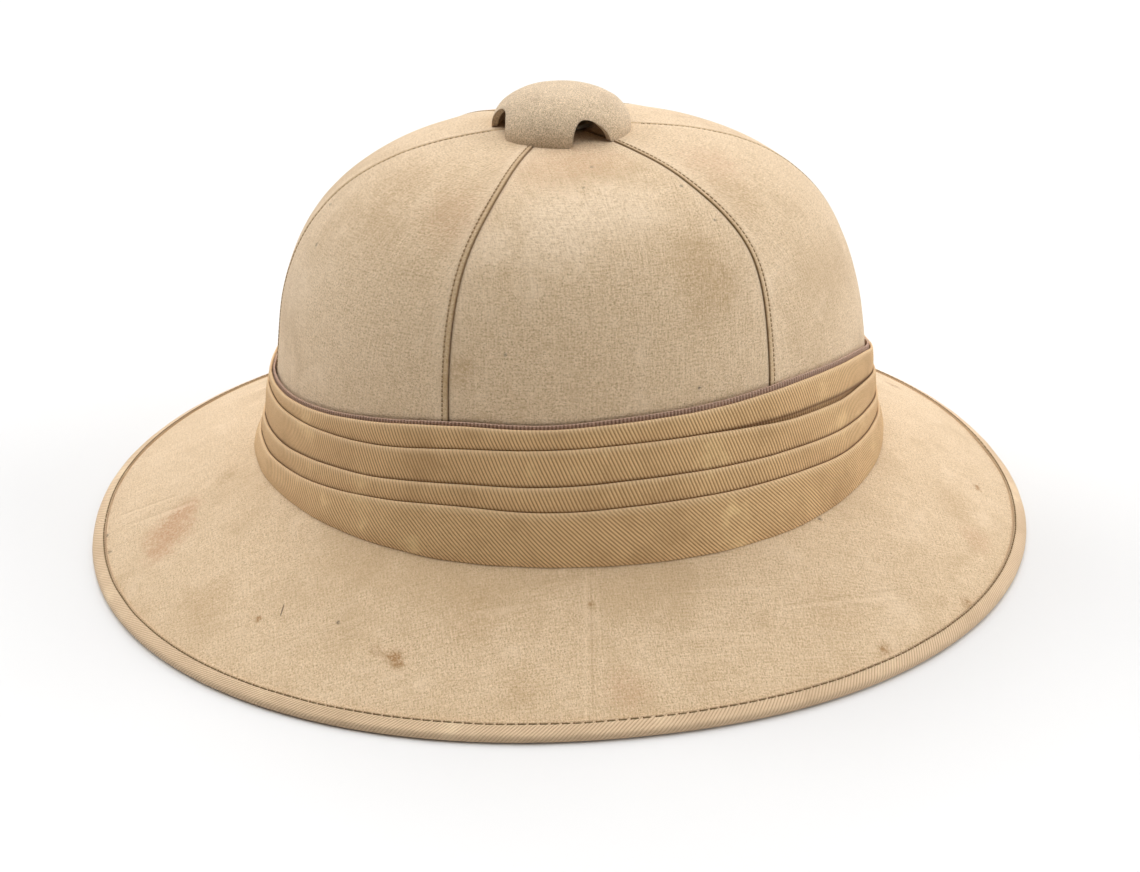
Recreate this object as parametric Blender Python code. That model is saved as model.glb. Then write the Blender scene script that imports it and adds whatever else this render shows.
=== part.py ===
"""A pith helmet: six cloth-covered gores, a sloping brim with a rolled binding, a pleated pugaree
with an edge tape behind its top, and a ventilator cap with four arches, held by a post.

Metres, +Z up. The helmet's front is towards -Y and the wearer's left side is towards +X. The origin
is below the middle of the brim's box, on the surface that the brim's edge rests on.

A place round the helmet is a turn: 0 at the front, 0.5 at a side and 1 at the back.
"""

import math

import bmesh
import bpy
from mathutils import Vector

# Crown, measured on the outside from its widest section
CROWN_HALF_WIDTH = 0.0903
CROWN_FRONT = 0.1118
CROWN_BACK = 0.1037
CROWN_RISE = 0.1098
CROWN_WALL = 0.004
CROWN_SIDE_FULLNESS = 3.1
CROWN_TOP_FULLNESS = 3.05
CROWN_SETBACK = 0.0059
CROWN_LEAN = 0.0045
TOP_DOME = 0.0032
TOP_LEAN = 0.0057
BASE_FLARE = 0.004
FLARE_FORWARD = 0.0024
FLARE_SHARE = 0.45
PANEL_SINK_SHARE = 0.010
LAP_WIDTH = 0.0024
LAP_HEIGHT = 0.0006

# Brim, out from the crown's base
BRIM_SIDE = 0.0558
BRIM_FRONT = 0.0694
BRIM_BACK = 0.0571
BRIM_DROP = 0.0325
BRIM_THICKNESS = 0.0030
BRIM_EDGE_THICKNESS = 0.0015
BRIM_SQUARENESS = 2.11
BRIM_KNEE_SHARE = 0.05

# Cloth binding folded round the brim's edge
BINDING_WIDTH = 0.0042
BINDING_CLOTH = 0.0006
REST_HALF_ANGLE = 22.0
ROLL_HALF_ANGLE = 35.0

# Pugaree and the tape behind its top edge
PUGAREE_HEIGHT = 0.0420
PUGAREE_THICKNESS = 0.0053
FOLD_DROP = 0.0004
TAPE_THICKNESS = 0.0007
TAPE_SHOWING = 0.0022
TAPE_TUCKED = 0.0050

# Ventilator
HOLE_RADIUS = 0.008
CAP_RADIUS = 0.0238
CAP_HEIGHT = 0.0127
CAP_WALL = 0.002
CAP_FULLNESS = 2.3
ARCH_WIDTH = 0.0138
ARCH_HEIGHT = 0.0095
ARCH_TURN = math.radians(15.0)
POST_COLLAR_RADIUS = 0.0115
POST_COLLAR_THICKNESS = 0.0012

CLEARANCE = 0.0003
GORE_COLUMNS = 10
GORE_ROWS = 14
ROW_CROWDING = 1.3
RING_COLUMNS = 72
TURNED_STEPS = 28

# Turn of the two side seams up the crown: 0 is the base and 1 the top
SEAM_COLUMNS = ("climb", "front_side_seam", "back_side_seam")
SEAMS = (
    (0.00, 0.326, 0.645),
    (0.25, 0.324, 0.658),
    (0.50, 0.323, 0.677),
    (0.75, 0.329, 0.667),
    (1.00, 0.320, 0.660),
)

# Which edges of each gore are folded and lie over the next gore, in order round the helmet
LAPS = ((True, True), (False, False), (True, True), (False, True), (False, False), (True, False))

# Top edge and folds of the pugaree round one side, the other side alike. The height is a share of
# PUGAREE_HEIGHT, each fold's depth a share of the height there.
WRAP_COLUMNS = ("turn", "height", "fold_1", "fold_2", "fold_3")
WRAP = (
    (0.000, 0.660, 0.150, 0.560, 0.790),
    (0.083, 0.695, 0.158, 0.537, 0.757),
    (0.167, 0.775, 0.173, 0.490, 0.702),
    (0.250, 0.880, 0.195, 0.470, 0.645),
    (0.333, 0.975, 0.171, 0.435, 0.600),
    (0.417, 0.985, 0.149, 0.425, 0.612),
    (0.500, 1.030, 0.152, 0.412, 0.597),
    (0.583, 1.055, 0.161, 0.418, 0.600),
    (0.667, 1.080, 0.197, 0.447, 0.623),
    (0.750, 1.035, 0.217, 0.490, 0.675),
    (0.833, 0.930, 0.240, 0.505, 0.690),
    (0.917, 0.745, 0.260, 0.520, 0.710),
    (1.000, 0.600, 0.270, 0.530, 0.720),
)

# How far each edge of the pleats stands out, as a share of PUGAREE_THICKNESS. Each pleat's upper
# edge is a fold that lies over the pleat above it.
PLEAT_COLUMNS = ("upper_edge", "lower_edge")
PLEATS = ((0.54, 0.47), (0.64, 0.56), (0.78, 0.70), (0.90, 1.18))

HELMET = "pith_helmet"
CUTTERS = "helmet_cutters"
APEX = BRIM_DROP + CROWN_RISE + TOP_DOME


def clear_scene():
    for item in list(bpy.data.objects):
        bpy.data.objects.remove(item, do_unlink=True)


def collection_named(name):
    collection = bpy.data.collections.new(name)
    bpy.context.scene.collection.children.link(collection)
    return collection


def material_named(name, colour, roughness):
    material = bpy.data.materials.new(name)
    material.use_nodes = True
    shader = material.node_tree.nodes["Principled BSDF"]
    shader.inputs["Base Color"].default_value = (*colour, 1.0)
    shader.inputs["Roughness"].default_value = roughness
    shader.inputs["Metallic"].default_value = 0.0
    return material


def along(table, column_names, column, place):
    """The value of a table's column at a place in its first column, on a smooth curve through the rows."""
    index = column_names.index(column)
    places = [row[0] for row in table]
    values = [row[index] for row in table]
    last = len(table) - 2
    row = max(i for i in range(last + 1) if places[i] <= place or i == 0)
    share = (place - places[row]) / (places[row + 1] - places[row])
    before = values[row - 1] if row > 0 else values[row + 1]
    after = values[row + 2] if row < last else values[row]
    start_slope = (values[row + 1] - before) / 2
    end_slope = (after - values[row]) / 2
    rise = values[row + 1] - values[row]
    return (
        values[row]
        + start_slope * share
        + (3 * rise - 2 * start_slope - end_slope) * share**2
        + (start_slope + end_slope - 2 * rise) * share**3
    )


def one_side(turn):
    """The same turn on the side that the tables describe."""
    turn %= 2.0
    return min(turn, 2.0 - turn)


def oval(turn, half_width, front, back, squareness=2.0):
    """A point of a level oval round the widest section."""
    across = math.sin(math.pi * turn)
    ahead = math.cos(math.pi * turn)
    power = 2.0 / squareness
    reach = front if ahead > 0 else back
    x = half_width * math.copysign(abs(across) ** power, across)
    y = -reach * math.copysign(abs(ahead) ** power, ahead)
    return Vector((x, y, 0.0))


def outward(turn):
    """The level direction straight out of the crown."""
    across = math.sin(math.pi * turn)
    ahead = math.cos(math.pi * turn)
    reach = CROWN_FRONT if ahead > 0 else CROWN_BACK
    return Vector((across / CROWN_HALF_WIDTH, -ahead / reach, 0.0)).normalized()


def seams():
    """The six seams, as functions from climb to turn, in order round the helmet."""

    def side(column, sign):
        return lambda climb: sign * along(SEAMS, SEAM_COLUMNS, column, climb)

    return [
        lambda climb: 0.0,
        side("front_side_seam", 1),
        side("back_side_seam", 1),
        lambda climb: 1.0,
        lambda climb: 2.0 - along(SEAMS, SEAM_COLUMNS, "back_side_seam", climb),
        lambda climb: 2.0 - along(SEAMS, SEAM_COLUMNS, "front_side_seam", climb),
        lambda climb: 2.0,
    ]


def panel_shrink(turn, climb):
    """The panels lie a little flatter than the ridges that the seams make."""
    turns = [seam(climb) for seam in seams()]
    turn %= 2.0
    index = max(i for i in range(6) if turns[i] <= turn or i == 0)
    share = (turn - turns[index]) / (turns[index + 1] - turns[index])
    return 1.0 - PANEL_SINK_SHARE * (1.0 - (2.0 * share - 1.0) ** 2)


def crown_point(turn, climb, inset=0.0):
    """A point of the crown's outside, or of the surface that lies inset within it."""
    angle = climb * math.pi / 2
    narrowing = max(math.cos(angle), 0.0) ** (2 / CROWN_SIDE_FULLNESS)
    lift = math.sin(angle) ** (2 / CROWN_TOP_FULLNESS)
    sizes = (CROWN_HALF_WIDTH - inset, CROWN_FRONT - inset, CROWN_BACK - inset)
    point = oval(turn, *sizes) * narrowing * panel_shrink(turn, climb)
    flare = max(0.0, 1.0 - lift / FLARE_SHARE) ** 2
    point += outward(turn) * (BASE_FLARE * flare)
    top = max(0.0, 1.0 - narrowing)
    point.y += WIDEST_Y + CROWN_SETBACK - FLARE_FORWARD * flare
    point.y -= CROWN_LEAN * lift + TOP_LEAN * top**2
    point.z = BRIM_DROP + (CROWN_RISE - inset) * lift + TOP_DOME * top**1.5
    return point


def climb_where(measure, wanted):
    """The climb at which a measure that falls all the way up the crown comes down to a value."""
    low, high = 0.0, 1.0
    for _ in range(30):
        middle = (low + high) / 2
        if measure(middle) > wanted:
            low = middle
        else:
            high = middle
    return (low + high) / 2


def crown_at_height(turn, height):
    """The crown's outside at a height above the surface that the helmet rests on."""
    climb = climb_where(lambda place: -crown_point(turn, place).z, -height)
    return crown_point(turn, climb)


def crown_top_at(turn, radius):
    """The crown's height at a distance from the ventilator's axis."""
    axis = Vector((0.0, VENT_Y))
    climb = climb_where(lambda place: (crown_point(turn, place).to_2d() - axis).length, radius)
    return crown_point(turn, climb).z


def base_point(turn, inset=0.0):
    return crown_point(turn, 0.0, inset)


def brim_edge(turn, inset=0.0):
    """The brim's outline on the outside of its binding, or a line inset within it."""
    half_width = CROWN_HALF_WIDTH + BASE_FLARE + BRIM_SIDE - inset
    point = oval(turn, half_width, FRONT_REACH - inset, BACK_REACH - inset, BRIM_SQUARENESS)
    point.y += WIDEST_Y
    return point


FRONT_REACH = CROWN_FRONT + BASE_FLARE + BRIM_FRONT - CROWN_SETBACK
BACK_REACH = CROWN_BACK + BASE_FLARE + BRIM_BACK + CROWN_SETBACK
WIDEST_Y = (FRONT_REACH - BACK_REACH) / 2
VENT_Y = WIDEST_Y + CROWN_SETBACK - CROWN_LEAN - TOP_LEAN
BINDING_HALF = BRIM_EDGE_THICKNESS / 2 + CLEARANCE + BINDING_CLOTH
EDGE_HEIGHT = BINDING_HALF * math.cos(math.radians(REST_HALF_ANGLE))


def brim_frame(turn):
    """The middle of the brim's edge, the way down the slope and the way up out of the brim."""
    edge = brim_edge(turn, BINDING_HALF)
    edge.z = EDGE_HEIGHT
    start = base_point(turn)
    start.z = BRIM_DROP - CLEARANCE - BRIM_THICKNESS / 2
    slope = (edge - start).normalized()
    level = Vector((slope.x, slope.y, 0.0)).normalized()
    above = level * -slope.z + Vector((0.0, 0.0, 1.0)) * slope.dot(level)
    return start, edge, slope, above


def brim_top(turn, out_from_crown):
    """The height of the brim's upper surface at a distance out from the crown's base."""
    start, edge, slope, above = brim_frame(turn)
    return (start + slope * out_from_crown + above * (BRIM_THICKNESS / 2)).z


def grid_faces(columns, points, closed):
    """Quads between neighbouring sections, each a closed loop of the same number of points."""
    faces = []
    for column in range(columns if closed else columns - 1):
        here = column * points
        there = (column + 1) % columns * points
        for point in range(points):
            after = (point + 1) % points
            faces.append((here + point, there + point, there + after, here + after))
    return faces


def loft(name, sections, material, collection, closed=True):
    """A solid through sections that differ all the way round, or an open stretch with flat ends."""
    count = len(sections[0])
    faces = grid_faces(len(sections), count, closed)
    if not closed:
        half = count // 2
        last = (len(sections) - 1) * count
        for start in (0, last):
            for point in range(half - 1):
                corners = (point, point + 1, count - 2 - point, count - 1 - point)
                faces.append([start + corner for corner in corners])
    mesh = bpy.data.meshes.new(name)
    mesh.from_pydata([point for section in sections for point in section], [], faces)
    shape = bmesh.new()
    shape.from_mesh(mesh)
    bmesh.ops.recalc_face_normals(shape, faces=shape.faces)
    shape.to_mesh(mesh)
    shape.free()
    return add_object(name, mesh, material, collection)


def add_object(name, mesh, material, collection, sharp_degrees=35.0):
    item = bpy.data.objects.new(name, mesh)
    if material:
        mesh.materials.append(material)
    mesh.shade_smooth()
    mesh.set_sharp_from_angle(angle=math.radians(sharp_degrees))
    collection.objects.link(item)
    return item


def gore_section(turn_at, inward, lap, along_seam):
    """One slice of a gore: its outside from the base to the ventilator's hole, then its inside."""
    outside = []
    inside = []
    for row in range(GORE_ROWS + 1):
        climb = (row / GORE_ROWS) ** ROW_CROWDING
        turn = turn_at(climb)
        if row < GORE_ROWS:
            outer = crown_point(turn, climb)
            inner = crown_point(turn, climb, CROWN_WALL)
            outer += (outer - inner).normalized() * lap
        else:
            rim = Vector((math.sin(math.pi * turn), -math.cos(math.pi * turn), 0.0))
            outer = rim * HOLE_RADIUS
            outer.y += VENT_Y
            outer.z = crown_top_at(turn, HOLE_RADIUS) + lap
            inner = outer.copy()
            inner.z = outer.z - lap - CROWN_WALL
        normal = outward(turn)
        round_way = Vector((-normal.y, normal.x, 0.0)) * inward
        outside.append(outer + round_way * along_seam)
        inside.append(inner + round_way * along_seam)
    return outside + inside[::-1]


def gore(number, start_seam, end_seam, material, collection):
    """One of the six panels of the crown. A folded edge is a raised strip along its seam."""
    panel = math.pi * (CROWN_HALF_WIDTH + CROWN_FRONT) / 6

    def share(part):
        return lambda climb: start_seam(climb) + part * (end_seam(climb) - start_seam(climb))

    def border(seam, inward, lapped):
        half_gap = CLEARANCE / 2
        if not lapped:
            return [gore_section(seam, inward, 0.0, half_gap)]
        return [
            gore_section(seam, inward, LAP_HEIGHT, half_gap),
            gore_section(seam, inward, LAP_HEIGHT, half_gap + LAP_WIDTH),
            gore_section(seam, inward, 0.0, half_gap + LAP_WIDTH + LAP_HEIGHT / 2),
        ]

    lapped_start, lapped_end = LAPS[number - 1]
    first = 2.0 * LAP_WIDTH / panel
    sections = border(start_seam, 1.0, lapped_start)
    for column in range(GORE_COLUMNS - 1):
        part = first + (1.0 - 2.0 * first) * column / (GORE_COLUMNS - 2)
        sections.append(gore_section(share(part), 1.0, 0.0, 0.0))
    sections += border(end_seam, -1.0, lapped_end)[::-1]
    return loft(f"crown_gore_{number}", sections, material, collection, closed=False)


def make_crown(material, collection):
    borders = seams()
    for number in range(6):
        gore(number + 1, borders[number], borders[number + 1], material, collection)


def round_the_helmet():
    return [2.0 * column / RING_COLUMNS for column in range(RING_COLUMNS)]


def make_brim(material, collection):
    """The brim runs from under the crown's wall to its edge inside the binding."""
    sections = []
    for turn in round_the_helmet():
        start, edge, slope, above = brim_frame(turn)
        half = above * (BRIM_THICKNESS / 2)
        thin = above * (BRIM_EDGE_THICKNESS / 2)
        under_binding = edge - slope * (BINDING_WIDTH + CLEARANCE)
        seat = BRIM_DROP - CLEARANCE
        inner_top = base_point(turn, CROWN_WALL)
        inner_top.z = seat
        outer_seat = base_point(turn)
        outer_seat.z = seat
        inner_bottom = inner_top - Vector((0.0, 0.0, BRIM_THICKNESS))
        knee = start.lerp(edge, BRIM_KNEE_SHARE)
        middle = start.lerp(edge, 0.5)
        upper = [inner_top, outer_seat, knee + half, middle + half, under_binding + thin, edge + thin]
        lower = [edge - thin, under_binding - thin, middle - half, knee - half, inner_bottom]
        sections.append(upper + lower)
    return loft("brim", sections, material, collection)


def make_binding(material, collection):
    """Cloth folded round the brim's edge, with a narrow level facet that the helmet rests on."""
    sections = []
    slot = BRIM_EDGE_THICKNESS / 2 + CLEARANCE
    for turn in round_the_helmet():
        start, edge, slope, above = brim_frame(turn)
        level = Vector((slope.x, slope.y, 0.0)).normalized()
        up = Vector((0.0, 0.0, 1.0))
        tilt = math.degrees(math.asin(-slope.z))
        angles = (
            90.0 - tilt,
            ROLL_HALF_ANGLE,
            0.0,
            -ROLL_HALF_ANGLE,
            REST_HALF_ANGLE - 90.0,
            -90.0 - REST_HALF_ANGLE,
        )
        rolled = [
            edge
            + level * (BINDING_HALF * math.cos(math.radians(angle)))
            + up * (BINDING_HALF * math.sin(math.radians(angle)))
            for angle in angles
        ]
        inwards = slope * -BINDING_WIDTH
        section = [edge + inwards + above * BINDING_HALF]
        section += rolled
        section += [
            edge + inwards - above * BINDING_HALF,
            edge + inwards - above * slot,
            edge + slope * CLEARANCE - above * slot,
            edge + slope * CLEARANCE + above * slot,
            edge + inwards + above * slot,
        ]
        sections.append(section)
    return loft("brim_binding", sections, material, collection)


def wrap_value(column, turn):
    return along(WRAP, WRAP_COLUMNS, column, one_side(turn))


def wrap_place(turn, share_down, out_from_crown):
    """A point of the wrapped cloth, at a share of the way down it and a distance off the crown."""
    top = BRIM_DROP + PUGAREE_HEIGHT * wrap_value("height", turn)
    foot = brim_top(turn, out_from_crown) + CLEARANCE
    height = top + (foot - top) * share_down
    point = crown_at_height(turn, height) + outward(turn) * out_from_crown
    point.z = height
    return point


def tape_offsets():
    inner = LAP_HEIGHT + CLEARANCE
    outer = inner + TAPE_THICKNESS
    return inner, outer


def make_pugaree(material, collection):
    """Four overlapping pleats of cloth, recessed behind the top edge for the tape."""
    sections = []
    for turn in round_the_helmet():
        height = PUGAREE_HEIGHT * wrap_value("height", turn)
        folds = [wrap_value(f"fold_{number}", turn) for number in (1, 2, 3)]
        edges = [0.0] + folds + [1.0]
        section = []
        for pleat, (upper, lower) in enumerate(PLEATS):
            drop = FOLD_DROP / height if pleat else 0.0
            section.append(wrap_place(turn, edges[pleat] + drop, PUGAREE_THICKNESS * upper))
            section.append(wrap_place(turn, edges[pleat + 1], PUGAREE_THICKNESS * lower))
        recess = (TAPE_TUCKED + CLEARANCE) / height
        tape_inner, tape_outer = tape_offsets()
        section += [
            wrap_place(turn, 1.0, tape_outer),
            wrap_place(turn, recess, tape_inner),
            wrap_place(turn, recess, tape_outer + CLEARANCE),
            wrap_place(turn, 0.0, tape_outer + CLEARANCE),
        ]
        sections.append(section)
    return loft("pugaree", sections, material, collection)


def make_edge_tape(material, collection):
    """A ribbed tape between the crown and the pugaree, showing above it."""
    sections = []
    for turn in round_the_helmet():
        height = PUGAREE_HEIGHT * wrap_value("height", turn)
        inner, outer = tape_offsets()
        above = -TAPE_SHOWING / height
        below = TAPE_TUCKED / height
        sections.append(
            [
                wrap_place(turn, above, outer),
                wrap_place(turn, below, outer),
                wrap_place(turn, below, inner),
                wrap_place(turn, above, inner),
            ]
        )
    return loft("edge_tape", sections, material, collection)


def vent_place(height):
    return Vector((0.0, VENT_Y, height))


def crown_tops(radius):
    """The crown's heights all the way round the ventilator's axis at one distance from it."""
    return [crown_top_at(turn, radius) for turn in round_the_helmet()]


def cap_foot():
    """The height at which the cap's inner edge clears the crown all the way round."""
    return max(crown_tops(CAP_RADIUS - CAP_WALL)) + LAP_HEIGHT + CLEARANCE


def turned_mesh(name, profile):
    """A round solid from a profile of (radius, height) that runs down its outside."""
    shape = bmesh.new()
    points = [shape.verts.new((radius, 0.0, height)) for radius, height in profile]
    for first, second in zip(points, points[1:]):
        shape.edges.new((first, second))
    bmesh.ops.spin(
        shape,
        geom=shape.verts[:] + shape.edges[:],
        cent=(0.0, 0.0, 0.0),
        axis=(0.0, 0.0, 1.0),
        angle=math.tau,
        steps=TURNED_STEPS,
        use_merge=True,
    )
    bmesh.ops.remove_doubles(shape, verts=shape.verts[:], dist=1e-6)
    bmesh.ops.recalc_face_normals(shape, faces=shape.faces[:])
    mesh = bpy.data.meshes.new(name)
    shape.to_mesh(mesh)
    shape.free()
    return mesh


def dome_height(radius, height, place):
    """A dome's height at a distance from its axis."""
    across = (place / radius) ** (CAP_FULLNESS / 2)
    return height * (1.0 - across**2) ** (1 / CAP_FULLNESS)


def make_post(material, collection):
    """A plain post through the crown's hole, with a collar above and one below."""
    stem = HOLE_RADIUS - CLEARANCE
    collar_foot = max(crown_tops(HOLE_RADIUS)) + LAP_HEIGHT + CLEARANCE
    collar_top = collar_foot + POST_COLLAR_THICKNESS
    top = cap_foot() + dome_height(CAP_RADIUS - CAP_WALL, CAP_HEIGHT - CAP_WALL, stem) - CLEARANCE
    under = min(crown_tops(POST_COLLAR_RADIUS)) - CROWN_WALL - 2 * CLEARANCE
    profile = (
        (0.0, top),
        (stem, top),
        (stem, collar_top),
        (POST_COLLAR_RADIUS, collar_top),
        (POST_COLLAR_RADIUS, collar_foot),
        (stem, collar_foot),
        (stem, under),
        (POST_COLLAR_RADIUS, under),
        (POST_COLLAR_RADIUS, under - POST_COLLAR_THICKNESS),
        (0.0, under - POST_COLLAR_THICKNESS),
    )
    post = add_object("ventilator_post", turned_mesh("ventilator_post", profile), material, collection)
    post.location = vent_place(0.0)
    return post


def dome_profile(radius, height, steps=9):
    """From the top of a dome down to its edge."""
    profile = []
    for step in range(steps + 1):
        angle = math.pi / 2 * step / steps
        across = radius * math.sin(angle) ** (2 / CAP_FULLNESS)
        profile.append((across, height * math.cos(angle) ** (2 / CAP_FULLNESS)))
    return profile


def arch_cutter(number, collection):
    """A round-topped block that cuts one arch through the cap's wall."""
    bpy.ops.mesh.primitive_cylinder_add(vertices=24, radius=1.0, depth=1.0)
    cutter = bpy.context.object
    cutter.name = f"arch_cutter_{number}"
    for owner in list(cutter.users_collection):
        owner.objects.unlink(cutter)
    collection.objects.link(cutter)
    turn = ARCH_TURN + number * math.pi / 2
    middle = CAP_RADIUS - CAP_WALL / 2
    for vertex in cutter.data.vertices:
        out = middle + vertex.co.z * CAP_RADIUS / 2
        side = vertex.co.x * ARCH_WIDTH / 2
        up = vertex.co.y * ARCH_HEIGHT
        vertex.co = (
            out * math.cos(turn) - side * math.sin(turn),
            out * math.sin(turn) + side * math.cos(turn),
            up,
        )
    cutter.location = vent_place(cap_foot())
    cutter.hide_render = True
    cutter.display_type = "WIRE"
    return cutter


def make_cap(material, collection, cutters):
    """A domed cap whose four feet stand on the crown round its hole."""
    outer = dome_profile(CAP_RADIUS, CAP_HEIGHT)
    inner = dome_profile(CAP_RADIUS - CAP_WALL, CAP_HEIGHT - CAP_WALL)
    mesh = turned_mesh("ventilator_cap", outer + inner[::-1])
    cap = add_object("ventilator_cap", mesh, material, collection)
    cap.location = vent_place(cap_foot())
    for number in range(4):
        cut = cap.modifiers.new(f"arch_{number + 1}", "BOOLEAN")
        cut.operation = "DIFFERENCE"
        cut.solver = "EXACT"
        cut.object = arch_cutter(number, cutters)
    return cap


def main():
    clear_scene()
    helmet = collection_named(HELMET)
    cutters = collection_named(CUTTERS)
    cotton = material_named("cream_cotton", (0.66, 0.50, 0.34), 0.85)
    twill = material_named("tan_twill", (0.50, 0.34, 0.17), 0.8)
    trim = material_named("binding_twill", (0.60, 0.44, 0.27), 0.8)
    ribbon = material_named("mauve_tape", (0.27, 0.19, 0.16), 0.8)
    covered = material_named("grey_khaki_cloth", (0.44, 0.40, 0.28), 0.9)
    metal = material_named("dull_post", (0.24, 0.22, 0.18), 0.6)
    make_crown(cotton, helmet)
    make_brim(cotton, helmet)
    make_binding(trim, helmet)
    make_pugaree(twill, helmet)
    make_edge_tape(ribbon, helmet)
    make_cap(covered, helmet, cutters)
    make_post(metal, helmet)


main()
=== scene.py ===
"""A worn pith helmet in cream cotton with a pleated twill pugaree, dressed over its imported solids.

Metres, +Z up, the helmet's front towards -Y and the wearer's left side towards +X. A place round it is a
turn: 0 at the front, 0.5 at a side, 1 at the back and 2 once round. A climb is 0 at the crown's base and
1 at its top. Cloth is laid from a flat grid: u runs along it, v across it, and depth is 0 on its right
side and 1 on its back.
"""

from bisect import bisect_right
from functools import cache
from math import asin, copysign, cos, exp, pi, radians, sin, sqrt, tau

import bmesh
import bpy
from mathutils import Matrix, Vector, noise


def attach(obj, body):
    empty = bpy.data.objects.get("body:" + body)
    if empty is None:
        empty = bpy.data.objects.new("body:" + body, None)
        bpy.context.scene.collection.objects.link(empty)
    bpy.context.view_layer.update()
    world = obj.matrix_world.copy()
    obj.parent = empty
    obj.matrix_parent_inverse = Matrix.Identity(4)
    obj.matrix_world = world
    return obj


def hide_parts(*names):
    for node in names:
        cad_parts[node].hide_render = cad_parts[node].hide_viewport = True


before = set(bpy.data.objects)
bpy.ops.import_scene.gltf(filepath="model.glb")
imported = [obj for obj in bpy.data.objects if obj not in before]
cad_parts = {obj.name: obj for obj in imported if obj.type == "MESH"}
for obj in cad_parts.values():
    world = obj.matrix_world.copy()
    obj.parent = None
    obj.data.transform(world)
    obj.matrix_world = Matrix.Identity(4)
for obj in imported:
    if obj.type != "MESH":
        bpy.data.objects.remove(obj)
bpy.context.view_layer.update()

# Crown
CROWN_HALF_WIDTH = 0.0903
CROWN_FRONT = 0.1118
CROWN_BACK = 0.1037
CROWN_RISE = 0.1098
CROWN_WALL = 0.004
CLIMB_STEPS = 600
CROWN_SIDE_FULLNESS = 3.1
CROWN_TOP_FULLNESS = 3.05
CROWN_SETBACK = 0.0059
CROWN_LEAN = 0.0045
TOP_DOME = 0.0032
TOP_LEAN = 0.0057
BASE_FLARE = 0.004
FLARE_FORWARD = 0.0024
FLARE_SHARE = 0.45
PANEL_SINK_SHARE = 0.010
HOLE_CLIMB = 0.9845
PANEL_GRID = (84, 112)
PANEL_CLUSTERING = 0.88
PANEL_WAVES = ((0.00022, 34.0), (0.00009, 120.0))

# Folded and stitched edges of the panels
FOLD_HEIGHT = 0.00032
FOLD_ROUNDING = 0.0004
FOLD_FADE = 0.08
STITCH_INSET = 0.0021
STITCH_PITCH = 0.0016
STITCH_SHARE = 0.62
STITCH_LIFT = 0.35
STITCH_WIDTH = 0.00055
UNSTITCHED_STEPS = 8
GROOVE_DEPTH = 0.00030
GROOVE_HALF_WIDTH = 0.00045
PADDING_RISE = 0.00025
PADDING_REACH = 0.005
PADDING_FADE = 0.6
TUCK_DEPTH = 0.0003
TUCK_REACH = 0.0004
SEAM_GAP = 0.0001
# How far the painted shade in each seam's creases reaches, beside a lapped and beside a tucked edge
LAPPED_CREASE = 0.00022
TUCKED_CREASE = 0.00035
# How far the paler band beside each seam reaches: partly rubbed wear, partly a painted highlight on the
# raised cloth there
WORN_REACH = 0.0025
DUSTY_SHARE = 0.09

# Brim and its binding
BRIM_SIDE = 0.0558
BRIM_FRONT = 0.0694
BRIM_BACK = 0.0571
BRIM_DROP = 0.0325
BRIM_THICKNESS = 0.0030
BRIM_EDGE_THICKNESS = 0.0015
BRIM_SQUARENESS = 2.11
BRIM_UNDER_WALL = 0.06
BRIM_KNEE = 0.03
BRIM_GRID = (640, 52)
BRIM_WAVES = ((0.00030, 26.0), (0.00010, 110.0))
BRIM_CLOTH_STRETCH = 1.12
BINDING_WIDTH = 0.0042
BINDING_CLOTH = 0.0006
BINDING_STITCH = 0.0006
BINDING_STITCH_PITCH = 0.0030
BINDING_STITCH_SHARE = 0.74
BINDING_STITCH_WANDER = 0.00018
BINDING_STITCH_SINK = 0.0001
BINDING_GROOVE = 0.0002
BINDING_GROOVE_HALF = 0.0004
BINDING_PUFF = 0.00016
BINDING_GRID = (720, 40)
REST_HALF_ANGLE = 22.0
CLEARANCE = 0.0003

# Pugaree and the ribbed tape behind it
PUGAREE_HEIGHT = 0.0420
PUGAREE_THICKNESS = 0.0053
WRAP_CLOTH = 0.0005
LAYER_GAP = 0.00055
TUCK_LENGTH = 0.0035
FACE_BELLY = 0.0003
# How far the painted shade reaches up from each pleat's lower fold, and the painted highlight down from
# its top edge
CREASE_REACH = 0.0005
LIT_REACH = 0.0006
WRAP_WAVE = 0.00025
WRAP_STEPS_ROUND = 480
LAST_FOLD = 3
TAPE_INSET = 0.0008
TAPE_THICKNESS = 0.0007
TAPE_SHOWING = 0.0026
TAPE_TUCKED = 0.0078
TAPE_RIB_PITCH = 0.0012
TAPE_RIB_DEPTH = 0.00022
TAPE_RIB_STEPS = 5
TAPE_FRAY = 0.00020

# Ventilator
CAP_RADIUS = 0.0238
CAP_HEIGHT = 0.0143
CAP_WALL = 0.002
CAP_FULLNESS = 2.3
CAP_GRID = (360, 26)
CAP_WAVES = ((0.00025, 90.0), (0.0001, 300.0))
CAP_CLOTH = 0.03
ARCH_FOOT = 0.0009
ARCH_FOOT_REACH = 0.28
ARCH_FULLNESS = 2.2
CAP_FOOT = 0.1437

# Turns of the two seams on each side, up the crown
SEAM_COLUMNS = ("climb", "front_side_seam", "back_side_seam")
SEAMS = (
    (0.0, 0.326, 0.645),
    (0.25, 0.324, 0.658),
    (0.5, 0.323, 0.677),
    (0.75, 0.329, 0.667),
    (1.0, 0.32, 0.66),
)

# Which edges of each panel are folded and lie over the next panel, in order round the helmet
LAPS = ((True, True), (False, False), (True, True), (False, True), (False, False), (True, False))

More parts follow.
